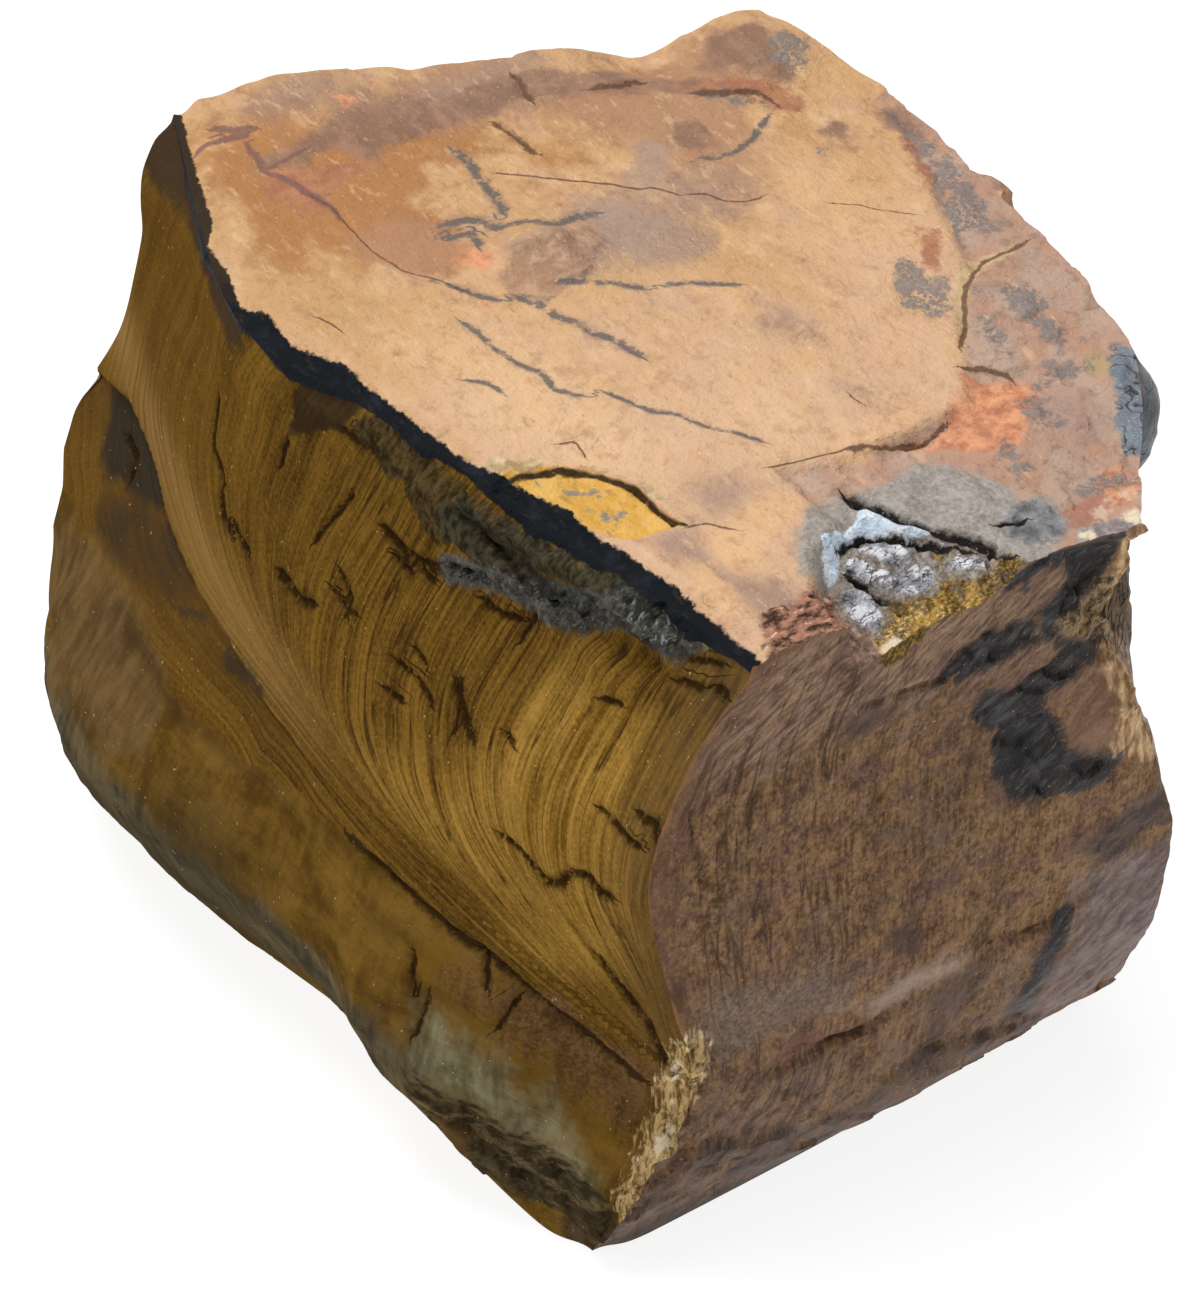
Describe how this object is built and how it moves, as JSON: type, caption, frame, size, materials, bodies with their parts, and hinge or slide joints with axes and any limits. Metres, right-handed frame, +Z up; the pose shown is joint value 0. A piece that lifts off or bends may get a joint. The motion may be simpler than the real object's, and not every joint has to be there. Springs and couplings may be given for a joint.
{
  "type": "rough tiger's eye stone",
  "caption": "Hand-size rough block of tiger's eye: tan seam wall on top, golden fibrous side, brown broken end, rounded toe, flat underside to rest on.",
  "frame": {"origin": "middle of the footprint, on the surface that the stone rests on", "axes": "+Z up through the tan seam wall on top; +X along the block's length towards the brown broken end; -Y out of the golden fibre side"},
  "size_m": [0.1124, 0.0973, 0.0818],
  "materials": {
    "tigers_eye": "rough natural break, silky golden brown fibres with a tan and rust skin"
  },
  "bodies": {
    "root": {"tigers_eye_block": "tigers_eye"}
  },
  "joints": []
}
